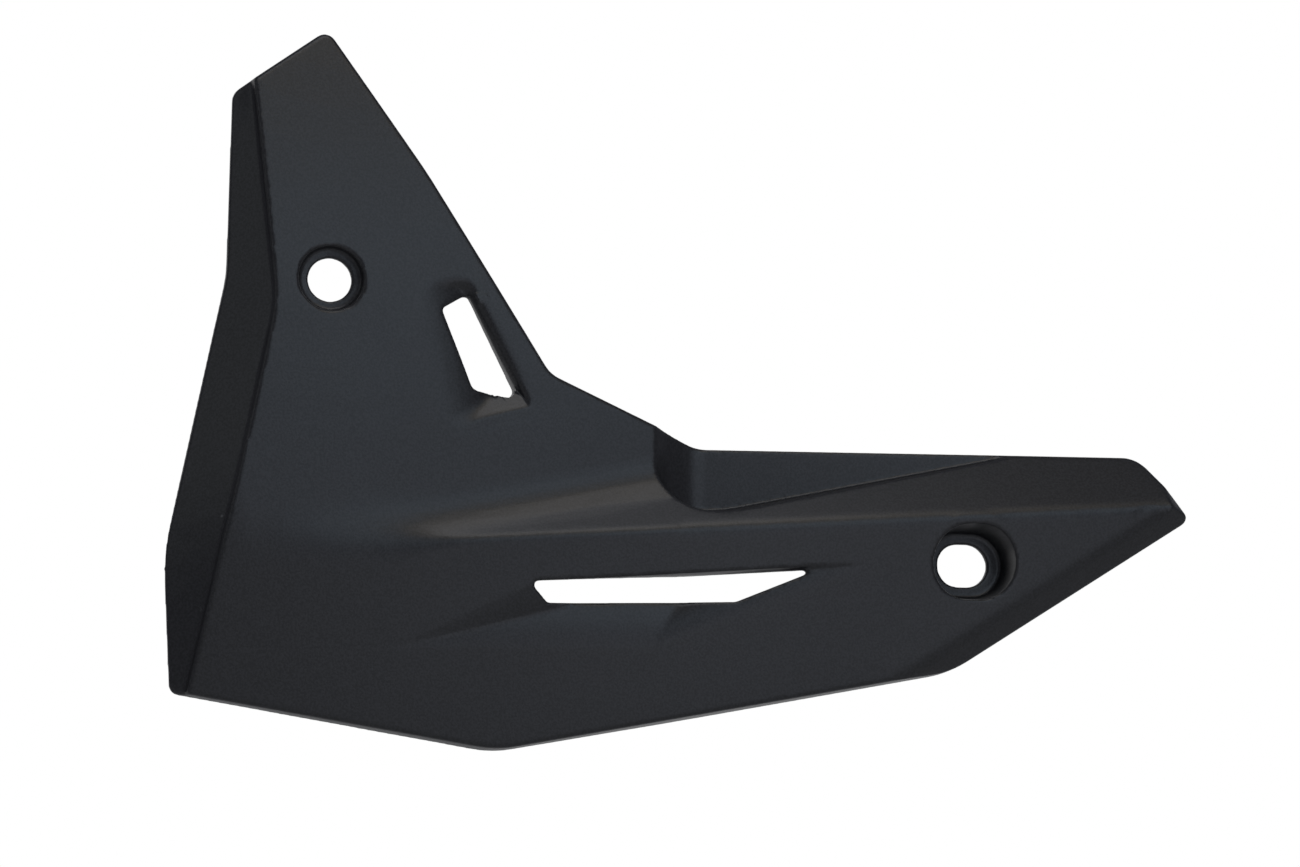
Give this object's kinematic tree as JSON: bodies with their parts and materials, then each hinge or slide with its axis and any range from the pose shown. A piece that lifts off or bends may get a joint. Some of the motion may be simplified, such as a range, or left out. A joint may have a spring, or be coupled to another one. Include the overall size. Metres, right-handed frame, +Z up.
{
  "type": "motorcycle side fairing",
  "caption": "Moulded side panel of a motorcycle fairing, with a flanged flank, two hooded vents, a recessed landing for the next panel and two bolt cups.",
  "frame": {"origin": "centre of the upper bolt hole, on the seat behind it", "axes": "+X towards the panel's pointed end, +Y from the outer face into the panel along its two bolts, +Z up"},
  "size_m": [0.3159, 0.0284, 0.2166],
  "materials": {
    "fairing_panel": "fine grained"
  },
  "bodies": {
    "root": {"fairing_panel": "fairing_panel"}
  },
  "joints": []
}
